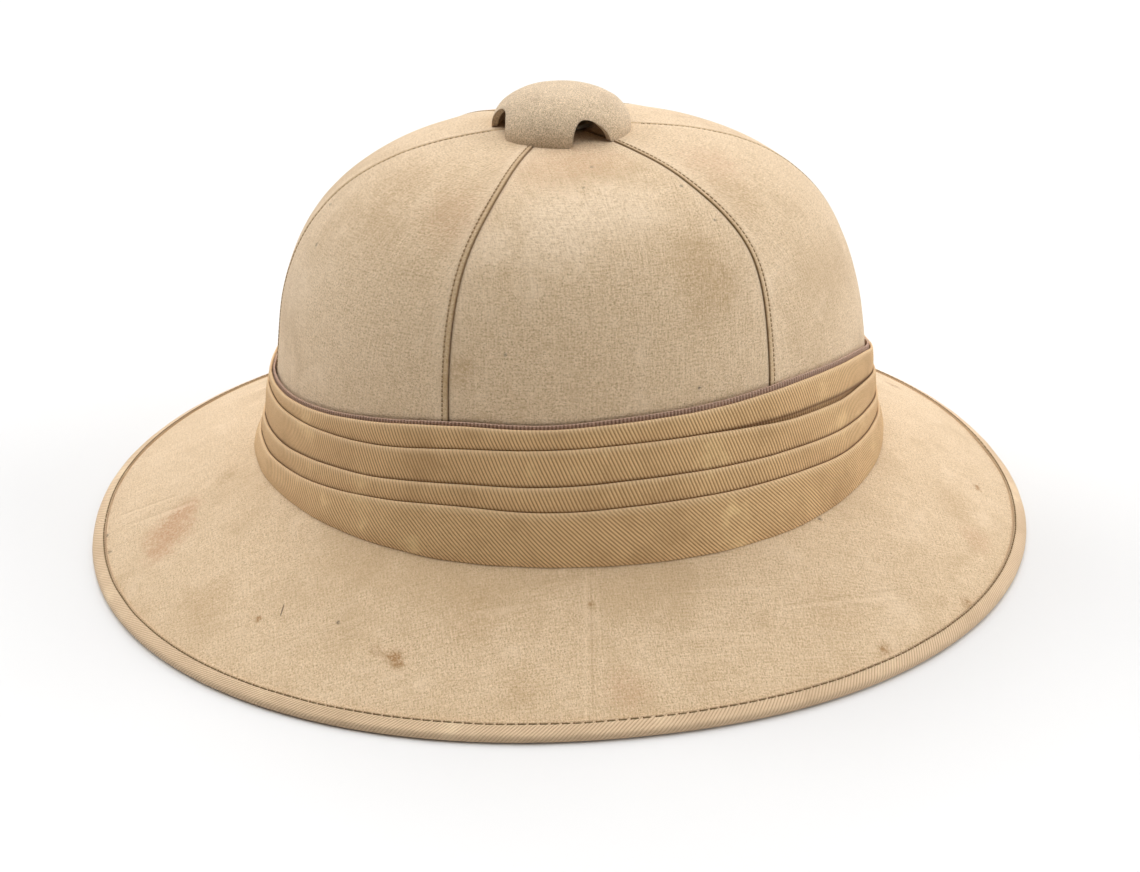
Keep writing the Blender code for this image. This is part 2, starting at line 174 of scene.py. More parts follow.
# Top edge and folds of the pugaree round one side, the other side alike. The slack is how far the
# second pleat hangs below the first, and the tape is the share of TAPE_SHOWING that shows.
WRAP_COLUMNS = ("turn", "height", "fold_1", "fold_2", "fold_3", "slack", "tape")
WRAP = (
    (0.0, 0.66, 0.15, 0.56, 0.79, 0.0, 0.4),
    (0.083, 0.695, 0.158, 0.537, 0.757, 0.0, 0.4),
    (0.167, 0.775, 0.173, 0.49, 0.702, 0.0, 0.4),
    (0.25, 0.88, 0.195, 0.47, 0.645, 0.0, 0.4),
    (0.333, 0.975, 0.171, 0.435, 0.6, 0.0, 0.4),
    (0.417, 0.985, 0.149, 0.425, 0.612, 0.0, 0.42),
    (0.5, 1.03, 0.152, 0.412, 0.597, 0.0, 0.5),
    (0.583, 1.055, 0.161, 0.418, 0.6, 0.006, 0.58),
    (0.667, 1.08, 0.197, 0.447, 0.623, 0.034, 0.58),
    (0.75, 1.035, 0.217, 0.49, 0.675, 0.044, 0.52),
    (0.833, 0.93, 0.24, 0.505, 0.69, 0.012, 0.5),
    (0.917, 0.745, 0.26, 0.52, 0.71, 0.0, 0.45),
    (1.0, 0.6, 0.27, 0.53, 0.72, 0.0, 0.42),
)

# How far the middle of the cloth stands out at each pleat's upper and lower edge, as a share of
# PUGAREE_THICKNESS
PLEATS = ((0.49, 0.40), (0.61, 0.52), (0.73, 0.66), (0.87, 1.15))

# The cap's four arches: where each stands round the cap in degrees, its width, its height, and how far
# its top leans from its middle as a share of its width
ARCHES = (
    (16.5, 0.0142, 0.0083, -0.14),
    (105.0, 0.0140, 0.0083, 0.0),
    (195.0, 0.0140, 0.0083, 0.0),
    (-79.8, 0.0150, 0.0083, 0.0),
)

# Old marks on the cotton: turn, climb up the crown or share of the way out over the brim, reach,
# strength and kind
CROWN_MARKS = (
    (0.334, 0.245, 0.006, 0.55, "tan"),
    (0.322, 0.215, 0.004, 0.4, "tan"),
    (0.6, 0.47, 0.012, 0.4, "tan"),
    (0.622, 0.41, 0.007, 0.35, "tan"),
    (0.585, 0.365, 0.008, 0.25, "tan"),
    (0.43, 0.64, 0.019, 0.75, "bleach_and_highlight"),
    (0.53, 0.69, 0.015, 0.6, "bleach_and_highlight"),
    (0.345, 0.56, 0.009, 0.5, "bleach_and_highlight"),
    (0.4, 0.85, 0.016, 0.3, "rosy"),
    (0.52, 0.87, 0.012, 0.35, "rosy"),
    (0.28, 0.64, 0.013, 0.3, "rosy"),
    (0.13, 0.7, 0.012, 0.35, "tan"),
    (0.09, 0.52, 0.01, 0.25, "tan"),
    (0.17, 0.56, 0.013, 0.25, "tan"),
    (0.07, 0.3, 0.014, 0.3, "bleach_and_highlight"),
    (0.72, 0.64, 0.011, 0.4, "tan"),
    (0.78, 0.76, 0.012, 0.35, "rosy"),
    (0.86, 0.33, 0.013, 0.25, "tan"),
    (1.2, 0.45, 0.018, 0.4, "tan"),
    (1.55, 0.6, 0.016, 0.45, "bleach_and_highlight"),
    (1.7, 0.3, 0.014, 0.4, "rosy"),
    (0.07, 0.428, 0.0008, 0.9, "speck"),
    (0.57, 0.2, 0.0009, 0.85, "speck"),
    (0.025, 0.528, 0.0007, 0.8, "speck"),
    (0.65, 0.728, 0.0008, 0.8, "speck"),
    (0.38, 0.29, 0.0007, 0.7, "speck"),
    (0.47, 0.76, 0.0007, 0.8, "speck"),
    (0.5, 0.84, 0.0008, 0.7, "speck"),
    (0.655, 0.6, 0.0007, 0.7, "speck"),
)
BRIM_MARKS = (
    (0.066, 0.64, 0.0105, 0.8, "rosy"),
    (0.048, 0.54, 0.007, 0.7, "rosy"),
    (0.085, 0.72, 0.006, 0.55, "rosy"),
    (0.03, 0.3, 0.005, 0.45, "tan"),
    (0.022, 0.945, 0.0011, 0.85, "speck"),
    (0.046, 0.935, 0.0013, 0.85, "speck"),
    (0.339, 0.67, 0.0036, 0.85, "rust_and_shade"),
    (0.345, 0.7, 0.0022, 0.6, "rust_and_shade"),
    (0.325, 0.655, 0.0026, 0.4, "rust_and_shade"),
    (0.226, 0.67, 0.0014, 0.9, "rust_and_shade"),
    (0.464, 0.35, 0.0018, 0.6, "rust_and_shade"),
    (0.656, 0.89, 0.0026, 0.75, "rust_and_shade"),
    (0.728, 0.83, 0.0034, 0.45, "tan"),
    (0.745, 0.92, 0.0024, 0.7, "rust_and_shade"),
    (0.902, 0.73, 0.002, 0.9, "rust_and_shade"),
    (0.85, 0.61, 0.01, 0.35, "tan"),
    (0.82, 0.76, 0.007, 0.35, "rosy"),
    (0.64, 0.62, 0.011, 0.3, "tan"),
    (0.375, 0.42, 0.012, 0.3, "tan"),
    (0.172, 0.72, 0.011, 0.35, "tan"),
    (0.487, 0.8, 0.008, 0.35, "rosy"),
    (0.529, 0.79, 0.006, 0.3, "tan"),
    (0.426, 0.78, 0.007, 0.3, "tan"),
    (1.3, 0.5, 0.014, 0.45, "tan"),
    (1.62, 0.65, 0.011, 0.45, "rosy"),
    (1.1, 0.7, 0.004, 0.7, "rust_and_shade"),
    (1.82, 0.45, 0.01, 0.35, "tan"),
    (0.699, 0.17, 0.001, 0.85, "speck"),
    (0.285, 0.56, 0.0008, 0.6, "speck"),
)

# Fine lines over the brim: turn and share of one end and of the other, width, strength and kind. A darker
# line laid beside paler ones paints the shade and the highlight on the two sides of a small wrinkle.
BRIM_LINES = (
    (0.462, 0.16, 0.469, 0.96, 0.00035, 0.22, "rust_and_shade"),
    (0.458, 0.16, 0.465, 0.96, 0.0007, 0.18, "bleach_and_highlight"),
    (0.467, 0.16, 0.474, 0.96, 0.0006, 0.12, "bleach_and_highlight"),
    (0.607, 0.51, 0.714, 0.69, 0.0007, 0.32, "tan"),
    (0.61, 0.53, 0.7, 0.705, 0.0008, 0.3, "bleach_and_highlight"),
    (0.001, 0.9, 0.016, 0.56, 0.0008, 0.25, "tan"),
    (0.004, 0.88, 0.019, 0.56, 0.0008, 0.28, "bleach_and_highlight"),
    (0.02, 0.86, 0.04, 0.48, 0.0011, 0.2, "tan"),
    (0.026, 0.82, 0.046, 0.48, 0.0011, 0.25, "bleach_and_highlight"),
    (0.234, 0.56, 0.24, 0.62, 0.00025, 0.9, "speck"),
)

CAMERA_PLACE = Vector((0.5076, -0.0836, 0.3023))
CAMERA_SIGHT = Vector((-0.8668, 0.1477, -0.4762))
CAMERA_UP = Vector((-0.469, 0.080, 0.879))
CAMERA_LENS = 48.76

# Soft lights of the studio: name, the place that each shines from the direction of, and power
LIGHTS = (
    ("overhead", (0.0, 0.0, 1.6), 1.30),
    ("high_behind", (-1.0, 0.0, 1.2), 0.96),
    ("front_far", (-0.7, -1.2, 0.9), 1.41),
    ("back_far", (-0.7, 1.2, 0.9), 0.75),
    ("back_near", (0.3, 1.5, 0.7), 1.27),
    ("low_behind", (-1.5, 0.0, 0.4), 0.56),
    ("near_fill", (1.1, 1.0, 0.8), 0.17),
)
LIGHT_SPREAD = radians(40.0)
ROOM_LIGHT = 0.044
SHARP_ANGLE = radians(60.0)


# Shape of the helmet

def along(table, column_names, column, place):
    """A table's column at a place in its first column, on a smooth curve through the rows."""
    index = column_names.index(column)
    places = [row[0] for row in table]
    values = [row[index] for row in table]
    last = len(table) - 2
    row = min(max(bisect_right(places, place) - 1, 0), last)
    share = (place - places[row]) / (places[row + 1] - places[row])
    before = values[row - 1] if row > 0 else values[row + 1]
    after = values[row + 2] if row < last else values[row]
    start_slope = (values[row + 1] - before) / 2
    end_slope = (after - values[row]) / 2
    rise = values[row + 1] - values[row]
    return (
        values[row]
        + start_slope * share
        + (3 * rise - 2 * start_slope - end_slope) * share**2
        + (start_slope + end_slope - 2 * rise) * share**3
    )


def oval(turn, half_width, front, back, squareness=2.0):
    """A point of a level oval round the helmet's widest section."""
    across = sin(pi * turn)
    ahead = cos(pi * turn)
    power = 2.0 / squareness
    reach = front if ahead > 0 else back
    x = half_width * copysign(abs(across) ** power, across)
    y = -reach * copysign(abs(ahead) ** power, ahead)
    return Vector((x, y, 0.0))


def outward(turn):
    """The level direction straight out of the crown."""
    across = sin(pi * turn)
    ahead = cos(pi * turn)
    reach = CROWN_FRONT if ahead > 0 else CROWN_BACK
    return Vector((across / CROWN_HALF_WIDTH, -ahead / reach, 0.0)).normalized()


FRONT_REACH = CROWN_FRONT + BASE_FLARE + BRIM_FRONT - CROWN_SETBACK
BACK_REACH = CROWN_BACK + BASE_FLARE + BRIM_BACK + CROWN_SETBACK
WIDEST_Y = (FRONT_REACH - BACK_REACH) / 2
BINDING_HALF = BRIM_EDGE_THICKNESS / 2 + CLEARANCE + BINDING_CLOTH
EDGE_HEIGHT = BINDING_HALF * cos(radians(REST_HALF_ANGLE))


@cache
def seam_turns(climb):
    """The turns of the seams at a climb, in order once round the helmet."""
    front = along(SEAMS, SEAM_COLUMNS, "front_side_seam", climb)
    back = along(SEAMS, SEAM_COLUMNS, "back_side_seam", climb)
    return (0.0, front, back, 1.0, 2.0 - back, 2.0 - front, 2.0)


def crown_point(turn, climb, inset=0.0):
    """A point of the crown's outside, or of the surface that lies inset within it."""
    angle = climb * pi / 2
    narrowing = max(cos(angle), 0.0) ** (2 / CROWN_SIDE_FULLNESS)
    lift = sin(angle) ** (2 / CROWN_TOP_FULLNESS)
    turns = seam_turns(climb)
    index = min(max(bisect_right(turns, turn) - 1, 0), 5)
    share = (turn - turns[index]) / (turns[index + 1] - turns[index])
    sink = 1.0 - PANEL_SINK_SHARE * (1.0 - (2.0 * share - 1.0) ** 2)
    sizes = (CROWN_HALF_WIDTH - inset, CROWN_FRONT - inset, CROWN_BACK - inset)
    point = oval(turn, *sizes) * narrowing * sink
    flare = max(0.0, 1.0 - lift / FLARE_SHARE) ** 2
    point += outward(turn) * (BASE_FLARE * flare)
    top = max(0.0, 1.0 - narrowing)
    point.y += WIDEST_Y + CROWN_SETBACK - FLARE_FORWARD * flare
    point.y -= CROWN_LEAN * lift + TOP_LEAN * top**2
    point.z = BRIM_DROP + (CROWN_RISE - inset) * lift + TOP_DOME * top**1.5
    return point


def crown_out(turn, climb):
    """The direction straight out of the crown's surface."""
    return (crown_point(turn, climb) - crown_point(turn, climb, CROWN_WALL)).normalized()


def distances(points):
    """How far each point lies along the path that they make."""
    total = [0.0]
    for first, second in zip(points, points[1:]):
        total.append(total[-1] + (second - first).length)
    return total


CLIMBS = [HOLE_CLIMB * (step / CLIMB_STEPS) ** 1.3 for step in range(CLIMB_STEPS + 1)]
CLIMB_LENGTHS = distances([crown_point(0.5, climb) for climb in CLIMBS])
PANEL_LENGTH = CLIMB_LENGTHS[-1]


@cache
def climb_at(share):
    """The climb at a share of the way up the crown's cloth."""
    wanted = share * PANEL_LENGTH
    step = min(max(bisect_right(CLIMB_LENGTHS, wanted) - 1, 0), len(CLIMBS) - 2)
    part = (wanted - CLIMB_LENGTHS[step]) / (CLIMB_LENGTHS[step + 1] - CLIMB_LENGTHS[step])
    return CLIMBS[step] + part * (CLIMBS[step + 1] - CLIMBS[step])


@cache
def crown_profile(turn):
    """Points up the crown's outside at one turn, and their heights."""
    points = [crown_point(turn, 0.8 * (step / 60) ** 1.3) for step in range(61)]
    return points, [point.z for point in points]


def crown_at_height(turn, height):
    points, heights = crown_profile(turn)
    if height <= heights[0]:
        return points[0].copy()
    step = min(bisect_right(heights, height) - 1, len(points) - 2)
    part = (height - heights[step]) / (heights[step + 1] - heights[step])
    return points[step].lerp(points[step + 1], part)


@cache
def brim_frame(turn):
    """The brim's start below the crown, the middle of its edge, the way down and the way up out of it."""
    half_width = CROWN_HALF_WIDTH + BASE_FLARE + BRIM_SIDE - BINDING_HALF
    reaches = (FRONT_REACH - BINDING_HALF, BACK_REACH - BINDING_HALF)
    edge = oval(turn, half_width, *reaches, BRIM_SQUARENESS)
    edge.y += WIDEST_Y
    edge.z = EDGE_HEIGHT
    start = crown_point(turn, 0.0)
    start.z = BRIM_DROP - CLEARANCE - BRIM_THICKNESS / 2
    slope = (edge - start).normalized()
    level = Vector((slope.x, slope.y, 0.0)).normalized()
    above = level * -slope.z + Vector((0.0, 0.0, 1.0)) * slope.dot(level)
    return start, edge, slope, above


def brim_top(turn, out_from_crown):
    """The height of the brim's upper surface at a distance out from the crown's base."""
    start, edge, slope, above = brim_frame(turn)
    return (start + slope * out_from_crown + above * (BRIM_THICKNESS / 2)).z


# Cloth

def clustered(share):
    """Moves evenly spaced shares across a panel closer together towards both ends."""
    return share - PANEL_CLUSTERING * sin(tau * share) / tau


def bell(distance, half_width):
    return exp(-((distance / half_width) ** 2))


def uneven(point, waves):
    """How far worn cloth strays outwards at a point, in waves of given heights and fineness."""
    return sum(height * noise.noise(point * fineness) for height, fineness in waves)


def cloth(name, columns, rows, place, lay, marks=None, joined=False):
    """A closed piece laid from a flat grid. place(u, v, depth) puts each of its points, lay(u, v) says
    where that point was on the flat cloth in metres, and marks(u, v) gives its named shades. A joined
    piece runs once round the helmet."""
    shape = bmesh.new()
    bmesh.ops.create_grid(shape, x_segments=columns, y_segments=rows, size=0.5)
    bmesh.ops.solidify(shape, geom=shape.faces[:], thickness=1.0)
    if joined:
        ends = [f for f in shape.faces if all(abs(abs(v.co.x) - 0.5) < 1e-4 for v in f.verts)]
        bmesh.ops.delete(shape, geom=ends, context="FACES")
    flat_map = shape.loops.layers.uv.new("flat_cloth")
    for mark in marks(0.0, 0.0) if marks else ():
        shape.verts.layers.float.new(mark)
    layers = dict(shape.verts.layers.float.items())
    shares = {}
    for vertex in shape.verts:
        u = round((vertex.co.x + 0.5) * columns) / columns
        v = round((vertex.co.y + 0.5) * rows) / rows
        shares[vertex] = (u, v, min(round(abs(vertex.co.z)), 1))
    for face in shape.faces:
        for loop in face.loops:
            u, v, depth = shares[loop.vert]
            loop[flat_map].uv = lay(u, v)
    for vertex, (u, v, depth) in shares.items():
        for mark, value in marks(u, v).items() if marks else ():
            vertex[layers[mark]] = 0.0 if depth else value
        vertex.co = place(u, v, depth)
    bmesh.ops.remove_doubles(shape, verts=shape.verts[:], dist=1e-7)
    return finished(name, shape)


def finished(name, shape):
    """Turns the faces outwards and makes the piece from its shape."""
    bmesh.ops.recalc_face_normals(shape, faces=shape.faces[:])
    mesh = bpy.data.meshes.new(name)
    shape.to_mesh(mesh)
    shape.free()
    mesh.shade_smooth()
    mesh.set_sharp_from_angle(angle=SHARP_ANGLE)
    piece = bpy.data.objects.new(name, mesh)
    bpy.context.scene.collection.objects.link(piece)
    return piece


def dress(piece, materials, slot, *nodes):
    """Gives a piece its finish, and has it stand for the solids that it covers."""
    for material in materials:
        piece.data.materials.append(material)
    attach(piece, "root")
    if nodes:
        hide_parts(*nodes)
    return piece


def one_stitch(length, width):
    """A short thread along X, with a dark disc at its start that paints the shade in its needle hole."""
    shape = bmesh.new()
    thread = Matrix.Diagonal((length / 2, width / 2, width / 2, 1.0))
    bmesh.ops.create_uvsphere(shape, u_segments=6, v_segments=5, radius=1.0, matrix=thread)
    threads = set(shape.faces)
    hole = Matrix.Diagonal((width * 0.62, width * 0.62, width * 0.40, 1.0))
    hole.translation = (-length / 2, 0.0, 0.0)
    bmesh.ops.create_uvsphere(shape, u_segments=6, v_segments=4, radius=1.0, matrix=hole)
    for face in shape.faces:
        face.material_index = 0 if face in threads else 1
    mesh = bpy.data.meshes.new("one_stitch")
    shape.to_mesh(mesh)
    shape.free()
    return mesh


def stitches(name, places, width, materials, slot):
    """A row of stitches, each from its start to its end with its outward direction."""
    shape = bmesh.new()
    pattern = one_stitch((places[0][1] - places[0][0]).length, width)
    for start, end, out in places:
        way = (end - start).normalized()
        side = out.cross(way).normalized()
        turned = Matrix((way, side, way.cross(side))).transposed().to_4x4()
        turned.translation = (start + end) / 2
        stitch = pattern.copy()
        stitch.transform(turned)
        shape.from_mesh(stitch)
        bpy.data.meshes.remove(stitch)
    bpy.data.meshes.remove(pattern)
    return dress(finished(name, shape), materials, slot)


# Crown panels

@cache
def panel_width(number, climb):
    """The width of a panel at a climb, measured along its cloth."""
    turns = seam_turns(climb)
    start, end = turns[number], turns[number + 1]
    points = [crown_point(start + (end - start) * step / 8, climb) for step in range(9)]
    return distances(points)[-1]


def stitch_inset(share_up):
    """How far the stitches run from the folded edge, nearer to it towards the top."""
    return STITCH_INSET * (1.0 - 0.35 * share_up)


def seam_rise(distance, lapped, inset):
    """How far the cloth stands above the panel at a distance from its seam."""
    if not lapped:
        return -TUCK_DEPTH * exp(-distance / TUCK_REACH)
    rounding = max(0.0, 1.0 - distance / FOLD_ROUNDING)
    fold = FOLD_HEIGHT * sqrt(1.0 - rounding**2)
    if distance > inset:
        beyond = (distance - inset) / PADDING_REACH
        fold = PADDING_RISE * bell(beyond, PADDING_FADE)
        fold += (FOLD_HEIGHT - PADDING_RISE) * bell(beyond, FOLD_FADE)
    return fold - GROOVE_DEPTH * bell(distance - inset, GROOVE_HALF_WIDTH)


def panel_turn(number, across, climb):
    """The turn at a share of the way across a panel."""
    turns = seam_turns(climb)
    return turns[number] + (turns[number + 1] - turns[number]) * across


def panel_spot(number, across, share_up, above=0.0):
    """A point of a panel, and the way out of it there."""
    climb = climb_at(share_up)
    turn = panel_turn(number, across, climb)
    out = crown_out(turn, climb)
    return crown_point(turn, climb) + out * above, out


def crown_panel(number, material):
    """One of the six cotton-covered panels, its folded edges stitched down over the next."""
    lapped_start, lapped_end = LAPS[number]

    def across(u, width):
        gap = SEAM_GAP / width
        return gap + (1.0 - 2.0 * gap) * clustered(u)

    def place(u, v, depth):
        climb = climb_at(v)
        width = panel_width(number, climb)
        share = across(u, width)
        if depth:
            return crown_point(panel_turn(number, share, climb), climb, CROWN_WALL)
        inset = stitch_inset(v)
        rise = seam_rise(share * width, lapped_start, inset)
        rise += seam_rise((1.0 - share) * width, lapped_end, inset)
        point, out = panel_spot(number, share, v)
        return point + out * (rise + uneven(point, PANEL_WAVES))

    def lay(u, v):
        width = panel_width(number, climb_at(v))
        return (clustered(u) - 0.5) * width, v * PANEL_LENGTH

    def marks(u, v):
        width = panel_width(number, climb_at(v))
        share = clustered(u)
        near = min((share * width, lapped_start), ((1.0 - share) * width, lapped_end))
        inset = stitch_inset(v)
        strip = 1.0 if near[1] and near[0] < inset else 0.0
        beyond = max(0.0, near[0] - (inset if near[1] else 0.0))
        return {
            "strip": strip,
            # Painted shade along the creases of each seam
            "crease_shade": exp(-near[0] / (LAPPED_CREASE if near[1] else TUCKED_CREASE)),
            # Paler beside each seam: partly rubbed wear, partly a painted highlight on the raised cloth
            "worn": exp(-beyond / WORN_REACH) * (1.0 - strip),
            "dusty": exp(-v / DUSTY_SHARE),
        }

    piece = cloth(f"crown_panel_{number + 1}", *PANEL_GRID, place, lay, marks)
    return dress(piece, [material], "cream_cotton", f"crown_gore_{number + 1}")


def panel_stitching(materials):
    """A row of stitches beside each folded edge of the panels."""
    places = []
    count = int(PANEL_LENGTH / STITCH_PITCH)
    for number, lapped in enumerate(LAPS):
        for side in (0, 1):
            if not lapped[side]:
                continue
            for step in range(UNSTITCHED_STEPS, count - UNSTITCHED_STEPS):
                ends = []
                for part in (step, step + STITCH_SHARE):
                    share_up = part / count
                    inset = stitch_inset(share_up) / panel_width(number, climb_at(share_up))
                    across = inset if side == 0 else 1.0 - inset
                    ends.append(panel_spot(number, across, share_up, FOLD_HEIGHT * STITCH_LIFT))
                places.append((ends[0][0], ends[1][0], ends[0][1]))
    return stitches("panel_stitching", places, STITCH_WIDTH, materials, "cream_cotton")


# Brim

def brim_path(turn, share_out, depth=0):
    """A point of the brim at a share of the way from under the crown's wall to its edge."""
    start, edge, slope, above = brim_frame(turn)
    under_wall = max(0.0, 1.0 - share_out / BRIM_UNDER_WALL)
    seat = crown_point(turn, 0.0, CROWN_WALL * under_wall)
    seat.z = BRIM_DROP - CLEARANCE - (BRIM_THICKNESS if depth else 0.0)
    out = (share_out - BRIM_UNDER_WALL) / (1.0 - BRIM_UNDER_WALL)
    if out <= 0.0:
        return seat
    half = BRIM_THICKNESS / 2 + (BRIM_EDGE_THICKNESS - BRIM_THICKNESS) / 2 * out
    sloping = start.lerp(edge, out) + above * (-half if depth else half)
    knee = exp(-out / BRIM_KNEE)
    return sloping.lerp(seat, knee)


def brim_cover(material):
    """The cotton-covered brim, once round."""

    def place(u, v, depth):
        turn = 2.0 * u
        point = brim_path(turn, v, depth)
        above = brim_frame(turn)[3]
        fade = min(1.0, max(0.0, (v - 0.08) / 0.1)) * min(1.0, (1.0 - v) / 0.08)
        return point + above * (uneven(point, BRIM_WAVES) * fade)

    def lay(u, v):
        point = brim_path(2.0 * u, v)
        return point.x * BRIM_CLOTH_STRETCH, point.y * BRIM_CLOTH_STRETCH

    def marks(u, v):
        # Painted shade on the brim beside the pugaree's foot and beside the binding
        return {"foot": exp(-max(0.0, v - 0.12) / 0.08), "rim": exp(-(1.0 - v) / 0.05)}

    piece = cloth("brim_cover", *BRIM_GRID, place, lay, marks, joined=True)
    return dress(piece, [material], "cream_cotton", "brim")


def binding_path(turn, distance, depth=0):
    """A point of the binding at a distance along its cloth, from its inner edge on top of the brim
    round the brim's edge to its inner edge below."""
    start, edge, slope, above = brim_frame(turn)
    out = BINDING_HALF - BINDING_CLOTH * depth
    rolled = pi * BINDING_HALF
    if distance < BINDING_WIDTH:
        return edge - slope * (BINDING_WIDTH - distance) + above * out
    if distance < BINDING_WIDTH + rolled:
        angle = (distance - BINDING_WIDTH) / BINDING_HALF
        return edge + (slope * sin(angle) + above * cos(angle)) * out
    return edge - slope * (distance - BINDING_WIDTH - rolled) - above * out


BINDING_LENGTH = 2.0 * BINDING_WIDTH + pi * BINDING_HALF
BRIM_ROUND = distances([brim_frame(2.0 * step / 240)[1] for step in range(241)])[-1]


def brim_binding(material):
    """Twill folded over the brim's edge, sewn down near its inner edge."""

    def place(u, v, depth):
        turn = 2.0 * u
        distance = v * BINDING_LENGTH
        point = binding_path(turn, distance, depth)
        start, edge, slope, above = brim_frame(turn)
        puff = BINDING_PUFF * noise.noise(Vector((u * 90.0, v * 5.0, 0.0)))
        sewn = 0.0 if depth else bell(distance - BINDING_STITCH, BINDING_GROOVE_HALF)
        tuck = 0.0003 * exp(-distance / 0.0003)
        point += above * (puff * sin(pi * v) - BINDING_GROOVE * sewn - tuck)
        point.z = max(point.z, 0.0)
        return point

    def lay(u, v):
        return u * BRIM_ROUND, v * BINDING_LENGTH

    def marks(u, v):
        distance = v * BINDING_LENGTH
        return {
            # Painted shade: a dark line at the binding's inner edge and along its stitching line
            "crease_shade": exp(-distance / 0.00025),
            "groove_shade": bell(distance - BINDING_STITCH, BINDING_GROOVE_HALF),
            "rolled": bell(distance - BINDING_WIDTH - BINDING_HALF, 0.0022),
        }

    piece = cloth("edge_binding", *BINDING_GRID, place, lay, marks, joined=True)
    return dress(piece, [material], "binding_twill", "brim_binding")


def binding_stitching(materials):
    """A row of stitches round the binding near its inner edge."""
    places = []
    count = int(BRIM_ROUND / BINDING_STITCH_PITCH)
    for step in range(count):
        ends = []
        for part in (step, step + BINDING_STITCH_SHARE):
            turn = 2.0 * part / count
            wander = BINDING_STITCH_WANDER * noise.noise(Vector((turn * 40.0, 0.0, 3.0)))
            point = binding_path(turn, BINDING_STITCH + wander)
            ends.append(point - brim_frame(turn)[3] * BINDING_STITCH_SINK)
        places.append((ends[0], ends[1], brim_frame(2.0 * step / count)[3]))
    return stitches("binding_stitching", places, STITCH_WIDTH, materials, "binding_twill")


# Pugaree and its tape

@cache
def wrap_sizes(turn):
    """Top height, drop to the foot and folds of the wrapped cloth at a turn."""
    near = min(turn % 2.0, 2.0 - turn % 2.0)
    value = {name: along(WRAP, WRAP_COLUMNS, name, near) for name in WRAP_COLUMNS[1:]}
    top = BRIM_DROP + PUGAREE_HEIGHT * value["height"]
    foot = brim_top(turn, PUGAREE_THICKNESS * PLEATS[-1][1]) + CLEARANCE
    return top, top - foot, value


def wrap_point(turn, down, out):
    """A point of the wrapped cloth, a distance down from its top edge and out from the crown."""
    top = wrap_sizes(turn)[0]
    point = crown_at_height(turn, top - down) + outward(turn) * out
    point.z = top - down
    return point


FACE_STEPS = 9
TUCK_STEPS = 3
BEND_STEPS = 4


def bend(down, out, sign):
    """A half turn of the cloth, upwards over a fold or downwards round the bottom of a tuck."""
    radius = LAYER_GAP / 2
    return [
        (down - sign * radius * sin(angle), out - radius * cos(angle))
        for angle in [pi * (step + 0.5) / BEND_STEPS for step in range(BEND_STEPS)]
    ]


@cache
def wrap_section(turn):
    """The middle line of the pleated cloth at a turn: each point's way down and way out, its painted
    shade where the cloth runs into the folds and tucks, and its painted highlight near the top edge of a
    fold."""
    top, drop, value = wrap_sizes(turn)
    edges = [0.0, value["fold_1"] * drop, value["fold_2"] * drop, value["fold_3"] * drop, drop]
    hanging = max(0.0, value["slack"]) * drop
    radius = LAYER_GAP / 2
    line = []
    for pleat, (upper, lower) in enumerate(PLEATS):
        upper_out = PUGAREE_THICKNESS * upper
        lower_out = PUGAREE_THICKNESS * lower
        first, last = edges[pleat], edges[pleat + 1]
        if pleat == 1:
            first += hanging
        behind = upper_out - LAYER_GAP
        for step in range(TUCK_STEPS):
            line.append((first + radius + TUCK_LENGTH * (1.0 - step / TUCK_STEPS), behind, 1.0, 0.0))
        for down, out in bend(first + radius, behind + radius, 1.0):
            line.append((down, out, 0.0, 1.0))
        for step in range(FACE_STEPS + 1):
            part = step / FACE_STEPS
            down = first + radius + (last - first - radius) * part
            belly = FACE_BELLY * sin(pi * part)
            out = upper_out + (lower_out - upper_out) * part + belly
            crease_shade = exp(-(last - down) / CREASE_REACH) if pleat < LAST_FOLD else 0.0
            lit = exp(-(down - first) / LIT_REACH)
            line.append((down, out, crease_shade, lit))
        if pleat < LAST_FOLD:
            for step in range(1, TUCK_STEPS + 1):
                tucked = lower_out - (0.0004 if hanging and pleat == 0 else 0.0)
                # Painted shade on the tucked cloth, less of it where the second pleat hangs open below
                # the first
                shade = 0.45 if hanging > 0.0003 and pleat == 0 else 1.0
                line.append((last + TUCK_LENGTH * step / TUCK_STEPS, tucked, shade, 0.0))
            for down, out in bend(last + TUCK_LENGTH + radius, lower_out + radius, -1.0):
                line.append((down, out, 1.0, 0.0))
    for down, out in bend(drop, lower_out - radius, -1.0)[::-1]:
        line.append((down, out, 0.6, 0.0))
    for step in range(TUCK_STEPS):
        line.append((drop - TUCK_LENGTH * (step + 1) / TUCK_STEPS, lower_out - LAYER_GAP, 1.0, 0.0))
    return line


@cache
def wrap_lengths(turn):
    return distances([Vector((down, out)) for down, out, crease_shade, lit in wrap_section(turn)])


WRAP_ROWS = len(wrap_section(0.5)) - 1
WRAP_LENGTH = wrap_lengths(0.5)[-1]
WRAP_ROUND = distances([wrap_point(2.0 * s / 240, 0.02, 0.004) for s in range(241)])[-1]


